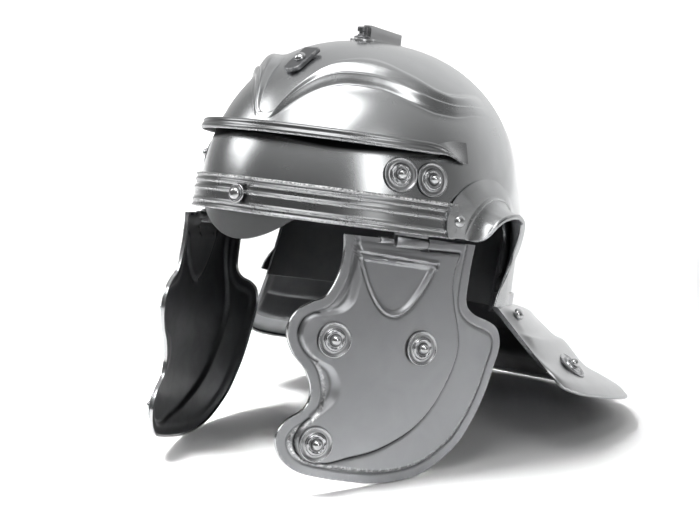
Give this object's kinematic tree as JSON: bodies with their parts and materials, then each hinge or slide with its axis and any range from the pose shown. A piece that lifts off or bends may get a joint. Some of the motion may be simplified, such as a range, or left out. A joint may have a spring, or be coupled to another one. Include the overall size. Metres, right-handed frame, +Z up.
{
  "type": "roman legionary helmet",
  "caption": "Steel infantry helmet: domed bowl with embossed eyebrow ridges, ribbed brow band, stepped collar at the nape and hinged cheek plates, standing tipped back on them",
  "frame": {"origin": "Centre of the bounding box on the surface the helmet stands on, tipped back on its cheek guards and the back edge of its neck guard", "axes": "+Z up, the wearer faces -Y, the wearer's left is +X"},
  "size_m": [0.292, 0.3432, 0.2792],
  "materials": {
    "polished_steel": "polished sheet steel with fine brushing and hammer waves",
    "plate_steel": "satin sheet steel, worn bright along raised edges",
    "fittings_steel": "turned and peened steel fittings, dull in their hollows"
  },
  "bodies": {
    "helmet": {"bowl": "polished_steel", "brow_band": "polished_steel", "brow_peak": "polished_steel", "neck_guard": "plate_steel", "ear_guard_left": "polished_steel", "ear_guard_right": "polished_steel", "hinge_strap_left": "fittings_steel", "hinge_strap_right": "fittings_steel", "hinge_pin_left": "fittings_steel", "hinge_pin_right": "fittings_steel", "brow_boss_1_dish_left": "fittings_steel", "brow_boss_1_stud_left": "fittings_steel", "brow_boss_1_dish_right": "fittings_steel", "brow_boss_1_stud_right": "fittings_steel", "brow_boss_2_dish_left": "fittings_steel", "brow_boss_2_stud_left": "fittings_steel", "brow_boss_2_dish_right": "fittings_steel", "brow_boss_2_stud_right": "fittings_steel", "neck_boss_dish_left": "fittings_steel", "neck_boss_stud_left": "fittings_steel", "neck_boss_dish_right": "fittings_steel", "neck_boss_stud_right": "fittings_steel", "brow_washer": "fittings_steel", "brow_rivet": "fittings_steel", "ear_rivet_front_left": "fittings_steel", "ear_rivet_front_right": "fittings_steel", "ear_rivet_rear_left": "fittings_steel", "ear_rivet_rear_right": "fittings_steel", "crest_hook": "fittings_steel", "crest_hook_rivet": "fittings_steel", "crest_base": "fittings_steel", "crest_box": "fittings_steel", "crest_pin": "fittings_steel"},
    "cheek_guard_left": {"cheek_guard_left": "plate_steel", "cheek_boss_1_dish_left": "fittings_steel", "cheek_boss_1_stud_left": "fittings_steel", "cheek_boss_2_dish_left": "fittings_steel", "cheek_boss_2_stud_left": "fittings_steel", "cheek_boss_3_dish_left": "fittings_steel", "cheek_boss_3_stud_left": "fittings_steel"},
    "cheek_guard_right": {"cheek_guard_right": "plate_steel", "cheek_boss_1_dish_right": "fittings_steel", "cheek_boss_1_stud_right": "fittings_steel", "cheek_boss_2_dish_right": "fittings_steel", "cheek_boss_2_stud_right": "fittings_steel", "cheek_boss_3_dish_right": "fittings_steel", "cheek_boss_3_stud_right": "fittings_steel"}
  },
  "joints": [
    {"name": "left_cheek_hinge", "type": "hinge", "parent": "helmet", "child": "cheek_guard_left", "pos_m": [0.08657, -0.079, 0.14888], "axis": [-0.2957, -0.9337, 0.2018], "range_deg": [0, 80]},
    {"name": "right_cheek_hinge", "type": "hinge", "parent": "helmet", "child": "cheek_guard_right", "pos_m": [-0.08657, -0.079, 0.14888], "axis": [-0.2957, 0.9337, -0.2018], "range_deg": [0, 80]}
  ]
}
